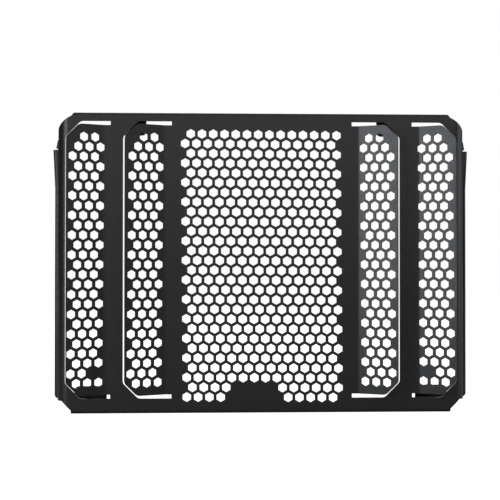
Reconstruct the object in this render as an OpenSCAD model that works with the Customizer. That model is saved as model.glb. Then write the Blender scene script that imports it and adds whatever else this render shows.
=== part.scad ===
// Motorcycle radiator guard: one aluminium sheet, cut flat and then folded.
// X runs across the motorcycle, Y back to the radiator and Z up.
// The origin is the middle of the guard's overall box.

/* [Sheet] */
// Thickness of the sheet
sheet_t = 2; // [1.5:0.1:2.5]
// Inside radius of the wide bends, at the louvres and the side flanges
wide_r = 9; // [7:0.5:11]
// Inside radius of the tight folds, at the returns, the tabs and the lips
tight_r = 1; // [0.5:0.25:1.5]

/* [Face] */
// Height over the top and bottom folds
face_h = 280; // [276:1:320]
// Width of the flat face, between the two side bends
face_w = 359.6; // [350:0.2:420]
// How far each end of the top fold stands in from the side bend
top_fold_in = 3.1; // [2:0.1:10]
// How far each end of the bottom fold stands in from the side bend
bottom_fold_in = 2.8; // [2:0.1:10]
// Depth of the top and bottom folds, from the front of the face
fold_depth = 14; // [8:0.5:15]
// Slope of the mitred ends of the top fold
fold_mitre = 0.4; // [0.1:0.05:0.8]

/* [Perforation] */
// Width across the flats of one hexagonal hole
hole_af = 8; // [4:0.1:8.4]
// Distance between neighbouring holes in a row
hole_pitch = 10.5; // [10.2:0.1:12]
// How far the columns of holes lean from upright, in degrees
column_lean = 0.45; // [0:0.05:1]
// How far the rows of holes fall from level, in degrees
row_fall = 0.45; // [0:0.05:1]
// Plain sheet above and below the middle panel, to the hole centres
panel_end = 17; // [15:0.5:40]
// Plain sheet between the middle panel and the bend of the inner louvre
panel_rib = 15.2; // [12:0.1:40]
// How far the middle panel's holes sit below the middle of the face
panel_drop = 2.8; // [0:0.1:4]
// Width of the plain patch in the lowest rows of the middle panel
patch_w = 48; // [0:1:80]
// Height of the plain patch above the lowest row
patch_h = 14; // [0:1:40]
// Middle of the plain patch, left of the middle of the face
patch_offset = 7; // [0:0.5:20]

/* [Louvres] */
// Plain sheet over and under the windows, where they sit in the middle of the face
window_end = 10.75; // [9:0.25:40]
// How far the windows sit above the middle of the face
window_lift = 2.9; // [0:0.1:3]
// Width of the inner window, from the bend line of its louvre
inner_w = 39.3; // [38.8:0.1:48]
// Width of the outer window, from the bend line of its louvre
outer_w = 36; // [35.9:0.1:46]
// Plain strip between the inner window and the bend line of the outer louvre
rib_w = 17.5; // [12:0.1:30]
// How far the outer window reaches into the side bend
window_reach = 3.2; // [0:0.1:5]
// Angle of the inner louvre to the face
inner_angle = 24.2; // [10:0.1:35]
// Angle of the outer louvre to the face
outer_angle = 25.6; // [10:0.1:35]
// Height of the slot over and under a louvre
slot_h = 4; // [2:0.1:5]
// Length of the slots past the start of the bend
slot_relief = 2; // [0.5:0.1:4]
// Width of the cut along a louvre's free edge
edge_gap = 0.4; // [0.2:0.1:1.5]
// Width of the cut along a louvre's sloped corners
corner_gap = 1.45; // [0.5:0.05:2]
// Size of the sloped corners of a window
window_chamfer = 14.4; // [8:0.1:20]
// Radius that softens the ends of the sloped corners
chamfer_r = 6; // [1:0.5:8]
// Distance from the inner bend line to its first column of holes
inner_first = 6.2; // [5:0.1:9]
// Distance from the outer bend line to its first column of holes
outer_first = 4.2; // [3:0.1:7]
// Columns of holes in a louvre
louvre_cols = 3; // [1:1:3]
// Plain sheet over and under the holes of a louvre, to the hole centres
louvre_end = 10; // [8:0.5:30]
// Least distance from a hole's middle to a louvre's sloped corner
corner_clear = 6; // [5:0.5:10]
// The row of an outer louvre that starts with a plain spot, or 0 for none
blank_row = 25; // [0:1:26]

/* [Side flanges] */
// Angle through which a side flange is bent back
side_angle = 86; // [75:1:90]
// Depth from the front of the face to the front of the lips and tabs
return_depth = 20; // [17:0.5:40]
// Width of the lip's flat, between its two folds
lip_flat = 0.8; // [0.4:0.1:8]
// Depth of the lip's own return, from the front of the lip
hem_depth = 8; // [4:0.5:20]
// Distance from the top of the guard to the lip's return
hem_drop = 33; // [32:0.5:60]
// Height of the upper end of the return, which leans outwards
ear_h = 36; // [20:1:60]
// Lean of that upper end, in degrees
ear_lean = 2.8; // [1:0.1:4]
// Width of the relief notch over the lip's return
notch_h = 1.5; // [0.5:0.1:3]
// Width of the plain end of the lip, right above the notch
neck_w = 2.4; // [2:0.1:2.8]
// How much narrower the plain end gets for each millimetre upwards
neck_slope = 0.2; // [0.1:0.05:0.3]
// Distance from the bottom of the guard to the flange's lower end
flange_rise = 11.8; // [8:0.1:30]
// Radius of the lower corner of a lip
lip_r = 4.5; // [1:0.5:4.5]
// Fall of the cut top corner, for each millimetre outwards
corner_fall_x = 0.55; // [0.3:0.05:1]
// Fall of the cut top corner, for each millimetre back
corner_fall_y = 0.6; // [0.3:0.05:1]

/* [Mounting tabs] */
// Width of a mounting tab
tab_w = 30; // [20:0.5:34]
// Distance from the middle of the face to the middle of an upper tab
upper_tab_x = 125; // [30:1:140]
// Height of an upper tab, from the top of the guard
upper_tab_h = 18.8; // [18:0.1:40]
// Height of a lower tab, from the bottom of the guard
lower_tab_h = 23; // [22:0.1:40]
// Radius of a tab's corners
tab_r = 4; // [1:0.5:8]
// Diameter of a tab's bolt hole, for an M6 bolt
bolt_d = 6.6; // [5:0.1:8]
// Distance of a bolt hole from its tab's outer edge
bolt_edge = 8; // [6:0.5:15]
// Distance of an upper bolt hole from the top of the guard
upper_bolt_drop = 11; // [9:0.5:13]
// Distance of a lower bolt hole from the bottom of the guard
lower_bolt_rise = 17; // [9:0.5:17]

/* [Hidden] */
$fn = 96;
// Largest turn of one facet of a bend, in degrees
arc_step = 4;
coat = [0.14, 0.14, 0.145];
// How far a cutting tool runs past what it cuts, and how far a bent strip runs into the face
cut = 1;
lap = 2;
wide_mid = wide_r + sheet_t / 2;
wide_out = wide_r + sheet_t;
tight_out = tight_r + sheet_t;
side_x = face_w / 2;
top_z = face_h / 2;
flat_half = top_z - tight_out;
top_half = side_x - top_fold_in;
bottom_half = side_x - bottom_fold_in;
seam_x = min(top_half, bottom_half);
window_h = face_h - 2 * window_end;
hem_top = top_z - hem_drop;
ear_z = hem_top - ear_h;
ear_gain = ear_h * tan(ear_lean);
neck_z = hem_top + notch_h;
flange_low = top_z - flange_rise;
outer_bend = side_x + window_reach - outer_w;
inner_bend = outer_bend - rib_w - inner_w;
row_pitch = hole_pitch * sqrt(3) / 2;
louvre_h = window_h - 2 * slot_h;
louvre_rows = floor((louvre_h - 2 * louvre_end) / row_pitch) + 1;
panel_rows = floor((face_h - 2 * panel_end) / row_pitch) + 1;
panel_cols = floor((2 * (inner_bend - panel_rib) - hole_af) / hole_pitch + 0.5);
lower_tab_x = bottom_half - tab_w / 2;
flange_x = side_x + wide_out * sin(side_angle);
flange_y = wide_out * (1 - cos(side_angle));
flange_len = (return_depth - flange_y - tight_r * (1 - cos(side_angle))) / sin(side_angle);
lip_x = flange_x + flange_len * cos(side_angle) + tight_r * sin(side_angle);
hem_x = lip_x + lip_flat;
hem_out = hem_x + tight_out;
ear_grip = lip_flat - tight_r / 4;
// How far the leaning return stands forward of the upright one, which it laps at the kink
ear_step = 0.05;
plain_z = ear_z + cut;
front_y = min(louvre_front(inner_w, inner_angle), louvre_front(outer_w, outer_angle));
back_y = return_depth + hem_depth;

// Distance from a bend line to where the bend ends, along the middle of the sheet
function bend_reach(angle) = wide_mid * tan(angle / 2);

// The foremost depth that a louvre reaches
function louvre_front(width, angle) =
    sheet_t / 2 - (width - edge_gap) * sin(angle) - sheet_t / 2 * cos(angle);

// One corner of an outline, softened to a radius. The neighbours are seen from the corner.
function soft_corner(corner, before, after, r, steps = 5) =
    let (
        a = before / norm(before),
        b = after / norm(after),
        half = acos(a * b) / 2,
        middle = r / sin(half) * (a + b) / norm(a + b),
        from = r / tan(half) * a - middle,
        to = r / tan(half) * b - middle,
        turn = 180 - 2 * half
    )
    [for (s = [0 : steps])
        corner + middle + (from * sin(turn * (1 - s / steps)) + to * sin(turn * s / steps)) / sin(turn)];

// The points of an outline, each corner softened to its own radius
function soft_outline(points, radii) =
    let (n = len(points))
    [for (i = [0 : n - 1])
        each radii[i] == 0 ? [points[i]] : soft_corner(
            points[i], points[(i + n - 1) % n] - points[i], points[(i + 1) % n] - points[i], radii[i])];

// One hexagonal hole with a corner at the top and one at the bottom
module hole_2d() {
    rotate(90) circle(d = hole_af / cos(30), $fn = 6);
}

// One side of a folded strip seen on edge, from where it starts and its heading. Each step
// is a length, then a turn and its inside radius. The side lies to the left by its offset.
function strip_side(steps, offset, from = [0, 0], heading = 0, i = 0) =
    i == len(steps) ? [] :
    let (
        length = steps[i][0],
        turn = steps[i][1],
        r = steps[i][2],
        corner = from + length * [cos(heading), sin(heading)],
        to_middle = turn > 0 ? sheet_t + r : -r,
        middle = corner + to_middle * left_of(heading),
        arcs = max(1, ceil(abs(turn) / arc_step))
    )
    concat(
        i == 0 ? [from + offset * left_of(heading)] : [],
        turn == 0 ? [corner + offset * left_of(heading)] :
        [for (s = [0 : arcs]) middle + (offset - to_middle) * left_of(heading + turn * s / arcs)],
        strip_side(steps, offset, middle - to_middle * left_of(heading + turn), heading + turn, i + 1)
    );

function left_of(heading) = [-sin(heading), cos(heading)];

function backwards(points) = [for (i = [len(points) - 1 : -1 : 0]) points[i]];

// A folded strip seen on edge, from the point where its right side starts
module strip_2d(steps, from = [0, 0], heading = 0) {
    polygon(concat(
        strip_side(steps, 0, from, heading),
        backwards(strip_side(steps, sheet_t, from, heading))));
}

// Stands a drawing in X and Z upright, with its front at depth y and a thickness of d
module upright(y, d) {
    translate([0, y + d, 0]) rotate([90, 0, 0]) linear_extrude(d) children();
}

// Turns a drawing in Y and Z into a bar along X, from x to x + w
module along_x(x, w) {
    translate([x, 0, 0]) rotate([90, 0, 90]) linear_extrude(w) children();
}

// Turns a drawing in X and Y into a bar along Z, from one height to another
module along_z(from, to) {
    translate([0, 0, from]) linear_extrude(to - from) children();
}

module both_sides() {
    children();
    mirror([1, 0, 0]) children();
}

// Everything over a sloping plane, which falls by a slope in X and a slope in Y
module over_plane(point, fall_x, fall_y) {
    span = 2 * face_h;
    translate(point)
        rotate([0, acos(1 / norm([fall_x, fall_y, 1])), atan2(fall_y, fall_x)])
            translate([-span / 2, -span / 2, 0]) cube(span);
}

// The holes of the middle panel, round a plain patch at the bottom
module panel_holes() {
    mid_col = (panel_cols - 0.5) / 2;
    mid_row = (panel_rows - 1) / 2;
    patch_top = patch_h - mid_row * row_pitch - panel_drop;
    for (j = [0 : panel_rows - 1], k = [0 : panel_cols - 1]) {
        col = k + (j % 2 == 0 ? 0.5 : 0) - mid_col;
        row = j - mid_row;
        x = col * hole_pitch + row * row_pitch * tan(column_lean);
        z = -row * row_pitch - col * hole_pitch * tan(row_fall) - panel_drop;
        in_patch = abs(x + patch_offset) < patch_w / 2 && z < patch_top;
        if (!in_patch) translate([x, z]) hole_2d();
    }
}

// A window in the face, with the slots that run past the start of the bend.
// It is cut a little further back than the bend, because the louvre laps the face there.
module window_2d(bend_x, width, angle) {
    start = bend_x - bend_reach(angle);
    near = start - lap / 2;
    far = bend_x + width;
    half = window_h / 2;
    slope_x = far - window_chamfer;
    slope_z = half - window_chamfer;
    translate([0, window_lift]) {
        polygon(soft_outline(
            [[near, -half], [slope_x, -half], [far, -slope_z], [far, slope_z], [slope_x, half], [near, half]],
            [0, chamfer_r, chamfer_r, chamfer_r, chamfer_r, 0]));
        for (low = [-half, half - slot_h])
            translate([start - slot_relief - lap, low]) square([slot_relief + lap + cut, slot_h]);
    }
}

module windows_2d() {
    window_2d(inner_bend, inner_w, inner_angle);
    window_2d(outer_bend, outer_w, outer_angle);
}

// The holes of one louvre. On its sloped corners the distances out and up add to slope_sum.
module louvre_holes(first, slope_sum, blank) {
    mid_row = (louvre_rows - 1) / 2;
    for (j = [0 : louvre_rows - 1], k = [0 : louvre_cols - 1]) {
        col = k + (j % 2 == 0 ? 0.5 : 0);
        row = j - mid_row;
        x = first + col * hole_pitch + row * row_pitch * tan(column_lean);
        z = -row * row_pitch - col * hole_pitch * tan(row_fall);
        clear = (slope_sum - x - abs(z)) / sqrt(2);
        is_blank = j + 1 == blank && k == 0;
        if (clear > corner_clear && !is_blank) translate([x, z]) hole_2d();
    }
}

// What is cut away round a louvre's free edge and its sloped corners, drawn on the flat flap.
// The cut comes in from outside the flap, on the line of the first curve's end.
module louvre_rim(length, slope_sum) {
    half = louvre_h / 2;
    slope_x = slope_sum - half;
    slope_z = slope_sum - length;
    outline = soft_outline(
        [[0, -half], [slope_x, -half], [length, -slope_z], [length, slope_z], [slope_x, half], [0, half]],
        [0, chamfer_r, chamfer_r, chamfer_r, chamfer_r, 0]);
    rim = [for (i = [1 : len(outline) - 2]) outline[i]];
    entry = 2 * rim[0] - rim[1];
    past = length + 2 * cut;
    polygon(concat([entry], rim, [
        [entry.x, -entry.y], [entry.x, half + cut], [past, half + cut], [past, -half - cut], [entry.x, -half - cut]
    ]));
}

// One louvre on the right: a strip that laps the face, bends forward and runs flat.
// Its outline and holes are cut square to the flap, turned about the bend's centre.
module louvre(bend_x, width, angle, first, blank) {
    reach = bend_reach(angle);
    start = bend_x - reach;
    length = width - edge_gap - reach;
    slope_sum = width + window_h / 2 - window_chamfer - corner_gap * sqrt(2) - reach;
    difference() {
        along_z(window_lift - louvre_h / 2, window_lift + louvre_h / 2)
            strip_2d([[lap, -angle, wide_r], [length + cut, 0, 0]], [start - lap, 0]);
        translate([start, -wide_r, window_lift]) rotate(-angle)
            upright(wide_r - 2 * cut, sheet_t + 4 * cut) {
                louvre_holes(first - reach, slope_sum, blank);
                louvre_rim(length, slope_sum);
            }
    }
}

// The perforated plate with its windows, up to where the corners of the sheet are cut
module face() {
    upright(0, sheet_t) difference() {
        translate([-seam_x, -flat_half]) square([2 * seam_x, 2 * flat_half]);
        panel_holes();
        windows_2d();
        mirror([1, 0]) windows_2d();
    }
}

// What is cut off the lower corner of the sheet, in front view. The curve's last line runs on
// past the lip's edge.
module low_corner_2d() {
    slope_end = bottom_half + flat_half - flange_low;
    outline = soft_outline(
        [[bottom_half, -flat_half], [slope_end, -flange_low], [hem_out, -flange_low], [hem_out, 0]],
        [0, 0, lip_r, 0]);
    rim = [for (i = [0 : len(outline) - 2]) outline[i]];
    last = len(rim) - 1;
    leave = 2 * rim[last] - rim[last - 1];
    past = hem_out + 2 * lip_r;
    polygon(concat(rim, [leave, [past, leave.y], [past, -face_h], [bottom_half, -face_h]]));
}

// What is cut off the lip over the kink of its return, in front view. The lip gets wider with
// the leaning return, ends plain at the notch and narrows over it.
module lip_end_2d() {
    foot = hem_x - ear_grip / 2;
    far = hem_out + ear_gain + cut;
    polygon([
        [foot + (plain_z - ear_z) * tan(ear_lean), plain_z], [foot + ear_gain, hem_top],
        [hem_x, hem_top], [hem_x, neck_z], [lip_x + neck_w, neck_z],
        [lip_x + neck_w - neck_slope * (flat_half - neck_z), flat_half + cut],
        [far, flat_half + cut], [far, plain_z]]);
}

// The rest of the face on the right in plan, with the wide bend back, the lip that is
// folded out and then more steps
module flange_2d(steps) {
    strip_2d(concat(
        [[side_x - seam_x, side_angle, wide_r], [flange_len, -side_angle, tight_r]], steps),
        [seam_x, 0]);
}

// The upper end of the lip's return, which leans out from a kink
module ear() {
    difference() {
        translate([hem_x, 0, ear_z]) rotate([0, ear_lean, 0])
            along_z(-lap, ear_h + lap) strip_2d(
                [[ear_grip, 90, tight_r], [hem_depth - tight_out, 0, 0]],
                [-ear_grip, return_depth - ear_step]);
        translate([lip_x, 0, hem_top]) cube([2 * tight_out + ear_gain, 2 * back_y, 2 * lap]);
    }
}

// The right side of the sheet. Its lip has a return of its own up to the relief notch,
// and over the notch the lip ends plain.
module side_flange() {
    difference() {
        union() {
            along_z(-flat_half, plain_z)
                flange_2d([[lip_flat, 90, tight_r], [hem_depth - tight_out, 0, 0]]);
            along_z(plain_z, flat_half) flange_2d([[neck_w + ear_gain, 0, 0]]);
        }
        upright(-cut, wide_out / 2 + cut) windows_2d();
        upright(-cut, back_y + 2 * cut) {
            low_corner_2d();
            lip_end_2d();
        }
        over_plane([top_half, 0, flat_half], corner_fall_x, corner_fall_y);
    }
    ear();
}

// The fold along the top edge. Its mirror image runs along the bottom.
module fold(half) {
    along_x(-half, 2 * half)
        strip_2d([[lap, -90, tight_r], [fold_depth - tight_out, 0, 0]], [sheet_t, flat_half - lap], 90);
}

// The top fold, with its ends mitred
module top_fold() {
    difference() {
        fold(top_half);
        both_sides() over_plane([top_half, 0, flat_half], 1 / fold_mitre, 1);
    }
}

// A mounting tab at the rear edge of the top fold, with its bolt hole
module tab(middle, height, bolt_drop) {
    left = middle - tab_w / 2;
    right = middle + tab_w / 2;
    low = top_z - height;
    back = fold_depth - lap;
    difference() {
        intersection() {
            along_x(left - cut, tab_w + 2 * cut) strip_2d(
                [[return_depth - tight_r - back, -90, tight_r], [height, 0, 0]],
                [back, top_z - sheet_t]);
            upright(back - cut, back_y) polygon(soft_outline(
                [[left, low], [right, low], [right, top_z + cut], [left, top_z + cut]],
                [tab_r, tab_r, 0, 0]));
        }
        translate([right - bolt_edge, back_y + cut, top_z - bolt_drop]) rotate([90, 0, 0])
            cylinder(h = back_y, d = bolt_d);
    }
}

module guard_sheet() {
    color(coat) translate([0, -(front_y + back_y) / 2, 0]) {
        face();
        top_fold();
        mirror([0, 0, 1]) fold(bottom_half);
        both_sides() {
            louvre(inner_bend, inner_w, inner_angle, inner_first, 0);
            louvre(outer_bend, outer_w, outer_angle, outer_first, blank_row);
            side_flange();
            tab(upper_tab_x, upper_tab_h, upper_bolt_drop);
            mirror([0, 0, 1]) tab(lower_tab_x, lower_tab_h, lower_bolt_rise);
        }
    }
}

guard_sheet();
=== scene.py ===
"""Dresses the radiator guard: one folded aluminium sheet with a satin black powder coat.

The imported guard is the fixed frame. One class holds the coated sheet, one the finish,
one a soft lamp, and one the plain studio that the guard stands in.
"""

import logging
import math
from dataclasses import dataclass, field
from enum import Enum

import bmesh
import bpy
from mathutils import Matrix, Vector


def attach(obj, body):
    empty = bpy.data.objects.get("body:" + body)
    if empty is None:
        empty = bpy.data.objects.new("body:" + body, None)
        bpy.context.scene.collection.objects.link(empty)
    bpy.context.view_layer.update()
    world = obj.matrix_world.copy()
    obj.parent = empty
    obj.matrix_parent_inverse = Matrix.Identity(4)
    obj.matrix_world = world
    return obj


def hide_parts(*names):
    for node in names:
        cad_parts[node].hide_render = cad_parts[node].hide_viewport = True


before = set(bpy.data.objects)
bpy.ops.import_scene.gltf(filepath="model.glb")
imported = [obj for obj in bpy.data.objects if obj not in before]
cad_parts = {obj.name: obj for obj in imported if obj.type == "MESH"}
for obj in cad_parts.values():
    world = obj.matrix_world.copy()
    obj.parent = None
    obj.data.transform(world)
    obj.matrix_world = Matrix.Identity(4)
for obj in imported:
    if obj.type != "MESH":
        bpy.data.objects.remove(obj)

LOG = logging.getLogger("guard_scene")
MM = 0.001
WHITE = (1.0, 1.0, 1.0, 1.0)

# The sRGB curve: a straight line near black and a power above it
SRGB_LINE_END = 0.04045
SRGB_LINE_SLOPE = 12.92
SRGB_OFFSET = 0.055
SRGB_POWER = 2.4


class Finish(Enum):
    """The material slots of the record that this scene dresses."""

    POWDER_COAT = "powder_coat"


def linear(hex_colour: str) -> tuple[float, float, float, float]:
    """Turns an sRGB colour into Blender's linear colour.

    Args:
        hex_colour: six hex digits, such as "1f1f20".

    Returns:
        Red, green and blue in linear light, and an alpha of 1.
    """
    channels = []
    for start in (0, 2, 4):
        value = int(hex_colour[start:start + 2], 16) / 255
        if value <= SRGB_LINE_END:
            channels.append(value / SRGB_LINE_SLOPE)
        else:
            channels.append(((value + SRGB_OFFSET) / (1 + SRGB_OFFSET)) ** SRGB_POWER)
    return channels[0], channels[1], channels[2], 1.0


def empty_tree(owner: bpy.types.Material | bpy.types.World) -> bpy.types.NodeTree:
    """Gives a material or a world an empty node tree.

    Args:
        owner: the material or the world.

    Returns:
        Its node tree, with no nodes in it.
    """
    owner.use_nodes = True
    owner.node_tree.nodes.clear()
    return owner.node_tree


def add_node(
    tree: bpy.types.NodeTree,
    kind: str,
    settings: dict[str, object] | None = None,
    inputs: dict[str | int, object] | None = None,
) -> bpy.types.Node:
    """Adds one node, with its settings, its values and its links.

    Args:
        tree: the node tree that the node goes into.
        kind: Blender's name for the node's type.
        settings: the node's own properties by name.
        inputs: what goes into each input by name or number: a value, or an output to link.

    Returns:
        The new node.
    """
    node = tree.nodes.new(kind)
    for name, value in (settings or {}).items():
        setattr(node, name, value)
    for key, value in (inputs or {}).items():
        if isinstance(value, bpy.types.NodeSocket):
            tree.links.new(value, node.inputs[key])
        else:
            node.inputs[key].default_value = value
    return node


def add_object(name: str, data: bpy.types.ID) -> bpy.types.Object:
    """Puts a mesh, a lamp or a camera into the scene.

    Args:
        name: the object's name.
        data: the mesh, lamp or camera that it shows.

    Returns:
        The new object.
    """
    thing = bpy.data.objects.new(name, data)
    bpy.context.scene.collection.objects.link(thing)
    return thing


@dataclass(frozen=True)
class SatinPowderCoat:
    """Polyester powder, sprayed on the folded sheet and baked.

    The powder flows into a skin with a faint orange peel, a little wavy and never sharp, so
    highlights are broad and soft. Sizes are in millimetres.
    """

    colour: str = "252525"
    pale_colour: str = "292929"
    roughness: float = 0.33
    roughness_spread: float = 0.1
    ior: float = 1.5
    # Real orange peel is under a millimetre wide and a few micrometres high, too fine to show
    # from here, so it is drawn wider and higher.
    peel_size: float = 2.0
    peel_height: float = 0.06
    grain_size: float = 0.6
    grain_height: float = 0.006
    cloud_size: float = 40.0
    # How many finer layers each pattern has, and how strong each layer is to the one before
    cloud_layers: float = 2.0
    skin_layers: float = 1.0
    layer_strength: float = 0.5

    def material(self) -> bpy.types.Material:
        """Makes the coat's material, with its patterns on Object coordinates.

        Returns:
            The finished material.
        """
        material = bpy.data.materials.new("satin_powder_coat_baked")
        tree = empty_tree(material)
        place = add_node(tree, "ShaderNodeTexCoord").outputs["Object"]
        clouds = self._pattern(tree, place, self.cloud_size, self.cloud_layers)
        peel = self._pattern(tree, place, self.peel_size, self.skin_layers)
        grain = self._pattern(tree, place, self.grain_size, self.skin_layers)
        tint = add_node(tree, "ShaderNodeMix", {"data_type": "RGBA"}, {
            "Factor": clouds, "A": linear(self.colour), "B": linear(self.pale_colour)})
        gloss = add_node(tree, "ShaderNodeMapRange", None, {
            "Value": peel,
            "To Min": self.roughness - self.roughness_spread,
            "To Max": self.roughness + self.roughness_spread})
        waves = add_node(tree, "ShaderNodeBump", None, {
            "Strength": 1.0, "Distance": self.peel_height * MM, "Height": peel})
        skin = add_node(tree, "ShaderNodeBump", None, {
            "Strength": 1.0, "Distance": self.grain_height * MM, "Height": grain,
            "Normal": waves.outputs["Normal"]})
        coat = add_node(tree, "ShaderNodeBsdfPrincipled", None, {
            "Base Color": tint.outputs["Result"],
            "Roughness": gloss.outputs["Result"],
            "IOR": self.ior,
            "Normal": skin.outputs["Normal"]})
        add_node(tree, "ShaderNodeOutputMaterial", None, {"Surface": coat.outputs["BSDF"]})
        return material

    def _pattern(
        self, tree: bpy.types.NodeTree, place: bpy.types.NodeSocket, size: float, layers: float,
    ) -> bpy.types.NodeSocket:
        """Adds a soft noise whose bumps are as wide as a given size.

        Args:
            tree: the material's node tree.
            place: the coordinates that the noise reads.
            size: width of one bump, in millimetres.
            layers: how many finer layers the noise has.

        Returns:
            The noise's value.
        """
        noise = add_node(tree, "ShaderNodeTexNoise", None, {
            "Vector": place, "Scale": 1 / (size * MM), "Detail": layers,
            "Roughness": self.layer_strength})
        return noise.outputs["Fac"]


@dataclass
class GuardSheet:
    """The folded sheet with its coat on.

    The rounding of its edges and hole rims comes out at about 0.002 mm, too small to show,
    because the overlap clamp holds every edge to what the mesh's shortest edges allow.
    Sizes are in millimetres and angles in degrees.
    """

    node: str = "guard_sheet"
    body: str = "root"
    # What is asked for. It comes out only with the overlap clamp off.
    edge_radius: float = 0.3
    edge_steps: int = 2
    sharp_angle: float = 30.0
    # Comes out at 0.08 to 0.12 on the flat face
    coat_thickness: float = 0.09
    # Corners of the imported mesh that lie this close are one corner
    weld: float = 0.002
    # Neighbouring faces that turn by less than this are one flat face
    flat_angle: float = 0.3
    flat_weight: int = 50
    coat: SatinPowderCoat = field(default_factory=SatinPowderCoat)

    def build(self) -> bpy.types.Object:
        """Makes the coated sheet in the CAD sheet's place, and dresses it.

        Returns:
            The finished piece.
        """
        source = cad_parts[self.node]
        mesh = bpy.data.meshes.new("coated_sheet")
        shape = bmesh.new()
        shape.from_mesh(source.data)
        bmesh.ops.remove_doubles(shape, verts=shape.verts, dist=self.weld * MM)
        bmesh.ops.dissolve_limit(
            shape, angle_limit=math.radians(self.flat_angle),
            verts=shape.verts, edges=shape.edges)
        self._coat(shape)
        shape.to_mesh(mesh)
        shape.free()
        piece = add_object("coated_sheet", mesh)
        mesh.shade_smooth()
        self._soften(piece)
        mesh.materials.clear()
        mesh.materials.append(self.coat.material())
        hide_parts(self.node)
        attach(piece, self.body)
        return piece

    def _coat(self, shape: bmesh.types.BMesh) -> None:
        """Lays the coat's thickness on every face, which also narrows the holes a little.

        Args:
            shape: the bare sheet's mesh.
        """
        shape.normal_update()
        for vert in shape.verts:
            vert.co += vert.normal * (vert.calc_shell_factor() * self.coat_thickness * MM)

    def _soften(self, piece: bpy.types.Object) -> None:
        """Rounds the piece's edges as far as the clamp allows, and keeps its flats flat.

        Args:
            piece: the sheet's object.
        """
        rounding = piece.modifiers.new("coat_over_edges", "BEVEL")
        rounding.limit_method = "ANGLE"
        rounding.angle_limit = math.radians(self.sharp_angle)
        rounding.width = self.edge_radius * MM
        rounding.segments = self.edge_steps
        rounding.use_clamp_overlap = True
        flats = piece.modifiers.new("flat_faces_stay_flat", "WEIGHTED_NORMAL")
        flats.mode = "FACE_AREA"
        flats.weight = self.flat_weight


@dataclass(frozen=True)
class Softbox:
    """One soft lamp, placed round the guard and aimed at its middle.

    Azimuth 0 is in front of the guard and 90 on its right, in degrees. Sizes are in metres.
    """

    name: str
    azimuth: float
    elevation: float
    distance: float
    width: float
    height: float
    radiance: float
    colour: str = "ffffff"

    def place(self) -> bpy.types.Object:
        """Adds the lamp to the scene.

        Returns:
            The lamp's object.
        """
        lamp = bpy.data.lights.new(self.name, "AREA")
        lamp.shape = "RECTANGLE"
        lamp.size = self.width
        lamp.size_y = self.height
        # The power at which the lamp's face has its radiance
        lamp.energy = self.radiance * math.pi * self.width * self.height
        lamp.color = linear(self.colour)[:3]
        stand = add_object(self.name, lamp)
        turn = math.radians(self.azimuth)
        lift = math.radians(self.elevation)
        away = Vector((
            math.sin(turn) * math.cos(lift), -math.cos(turn) * math.cos(lift), math.sin(lift)))
        stand.location = away * self.distance
        stand.rotation_euler = away.to_track_quat("Z", "Y").to_euler()
        stand.visible_camera = False
        return stand


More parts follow.
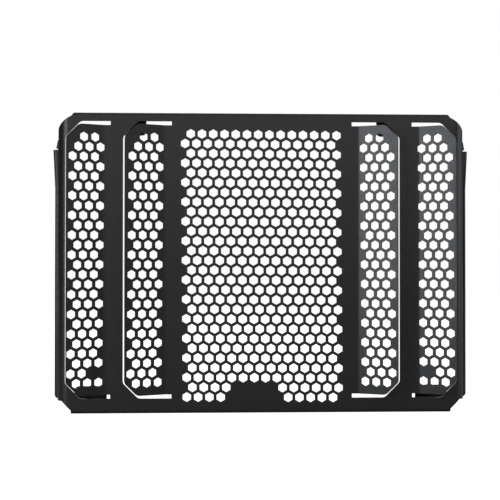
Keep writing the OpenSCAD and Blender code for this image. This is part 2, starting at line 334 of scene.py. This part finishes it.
@dataclass
class Studio:
    """The plain white studio: floor, background, lamps and the camera. Sizes are in metres."""

    # Just under the guard's lowest edge with its coat on
    floor_level: float = -0.1401
    floor_size: float = 6.0
    floor_colour: str = "b4b4b4"
    floor_roughness: float = 0.9
    camera_place: tuple[float, float, float] = (-0.00939, -0.95101, -0.00060)
    camera_heading: tuple[float, float, float] = (0.037623, 0.999204, 0.01325)
    lens_mm: float = 72.79
    sensor_mm: float = 36.0
    sideways_shift: float = -0.08
    nearest_view: float = 0.01
    farthest_view: float = 50.0
    room_grey: str = "1c1c1c"
    # How far to the rear a mirrored ray has to point, of 1, to see the white background
    rear_start: float = 0.85
    rear_full: float = 0.98
    # How far behind the guard the floor turns white in a mirrored view
    floor_rear_start: float = 1.2
    floor_rear_full: float = 2.4
    # Name, azimuth, elevation, distance, width, height, radiance and colour
    lamps: tuple[Softbox, ...] = (
        Softbox("left_front_softbox", -41.0, 14.0, 1.5, 0.7, 1.0, 4.2, "f2f8ff"),
        Softbox("front_fill_softbox", 14.0, 22.0, 1.55, 1.6, 1.1, 0.72, "fffdf8"),
        Softbox("overhead_softbox", 0.0, 86.0, 1.0, 1.0, 0.6, 0.7),
        Softbox("right_softbox", 76.0, 15.0, 1.4, 0.6, 1.2, 1.6, "ecf2ff"),
        Softbox("right_rear_softbox", 104.0, 20.0, 1.4, 0.8, 1.2, 0.6),
        Softbox("rear_fill_softbox", 165.0, 40.0, 1.6, 1.6, 0.8, 2.0),
    )

    def build(self) -> None:
        """Adds the floor, the background, the lamps and the camera."""
        self._floor()
        self._background()
        for lamp in self.lamps:
            lamp.place()
        self._camera()

    def _floor(self) -> None:
        """Adds a pale floor that is as white as the background to the eye."""
        mesh = bpy.data.meshes.new("studio_floor")
        shape = bmesh.new()
        bmesh.ops.create_grid(shape, x_segments=1, y_segments=1, size=self.floor_size / 2)
        bmesh.ops.translate(shape, verts=shape.verts, vec=(0, 0, self.floor_level))
        shape.to_mesh(mesh)
        shape.free()
        floor = add_object("studio_floor", mesh)
        material = bpy.data.materials.new("matt_white_paint_rolled")
        tree = empty_tree(material)
        place = add_node(tree, "ShaderNodeTexCoord").outputs["Object"]
        paint = add_node(tree, "ShaderNodeBsdfPrincipled", None, {
            "Base Color": linear(self.floor_colour),
            "Roughness": self.floor_roughness,
            "Emission Color": WHITE,
            "Emission Strength": self._seen_as_background(
                tree, place, self.floor_rear_start, self.floor_rear_full)})
        add_node(tree, "ShaderNodeOutputMaterial", None, {"Surface": paint.outputs["BSDF"]})
        mesh.materials.append(material)

    def _seen_as_background(
        self, tree: bpy.types.NodeTree, way: bpy.types.NodeSocket, start: float, full: float,
    ) -> bpy.types.NodeSocket:
        """Finds the rays that see the white background: from the camera, passed on or mirrored.

        A mirrored ray sees it far behind the guard only, because the room in front is dark.

        Args:
            tree: the node tree of the floor or the world.
            way: where the ray goes, with Y to the rear.
            start: how far to the rear the white begins in a mirrored view.
            full: how far to the rear it is fully white there.

        Returns:
            1 for such a ray and 0 for any other.
        """
        path = add_node(tree, "ShaderNodeLightPath")
        parts = add_node(tree, "ShaderNodeSeparateXYZ", None, {0: way})
        rear = add_node(tree, "ShaderNodeMapRange", {"interpolation_type": "SMOOTHSTEP"}, {
            "Value": parts.outputs["Y"], "From Min": start, "From Max": full})
        mirrored = add_node(tree, "ShaderNodeMath", {"operation": "MULTIPLY"}, {
            0: path.outputs["Is Glossy Ray"], 1: rear.outputs["Result"]})
        direct = add_node(tree, "ShaderNodeMath", {"operation": "MAXIMUM"}, {
            0: path.outputs["Is Camera Ray"], 1: path.outputs["Is Transmission Ray"]})
        return add_node(tree, "ShaderNodeMath", {"operation": "MAXIMUM"}, {
            0: direct.outputs["Value"], 1: mirrored.outputs["Value"]}).outputs["Value"]

    def _background(self) -> None:
        """Makes the world white to the camera, and dim to the guard, as the room is dark."""
        world = bpy.data.worlds.new("white_studio")
        bpy.context.scene.world = world
        tree = empty_tree(world)
        way = add_node(tree, "ShaderNodeTexCoord").outputs["Generated"]
        tint = add_node(tree, "ShaderNodeMix", {"data_type": "RGBA"}, {
            "Factor": self._seen_as_background(tree, way, self.rear_start, self.rear_full),
            "A": linear(self.room_grey), "B": WHITE})
        light = add_node(tree, "ShaderNodeBackground", None, {
            "Color": tint.outputs["Result"], "Strength": 1.0})
        add_node(tree, "ShaderNodeOutputWorld", None, {"Surface": light.outputs["Background"]})

    def _camera(self) -> None:
        """Sets up the camera at the photograph's viewing angle."""
        data = bpy.data.cameras.new("camera")
        data.sensor_width = self.sensor_mm
        data.lens = self.lens_mm
        data.shift_x = self.sideways_shift
        data.clip_start = self.nearest_view
        data.clip_end = self.farthest_view
        camera = add_object("camera", data)
        camera.location = self.camera_place
        heading = Vector(self.camera_heading)
        camera.rotation_euler = heading.to_track_quat("-Z", "Y").to_euler()
        bpy.context.scene.camera = camera


def main() -> None:
    """Builds the studio and the coated sheet, and reports each piece."""
    logging.basicConfig(level=logging.INFO, format="%(name)s: %(message)s")
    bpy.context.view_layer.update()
    bpy.context.scene.view_settings.view_transform = "Standard"
    Studio().build()
    piece = GuardSheet().build()
    LOG.info("%s: %d faces before its edges are rounded", piece.name, len(piece.data.polygons))


if __name__ == "__main__":
    main()
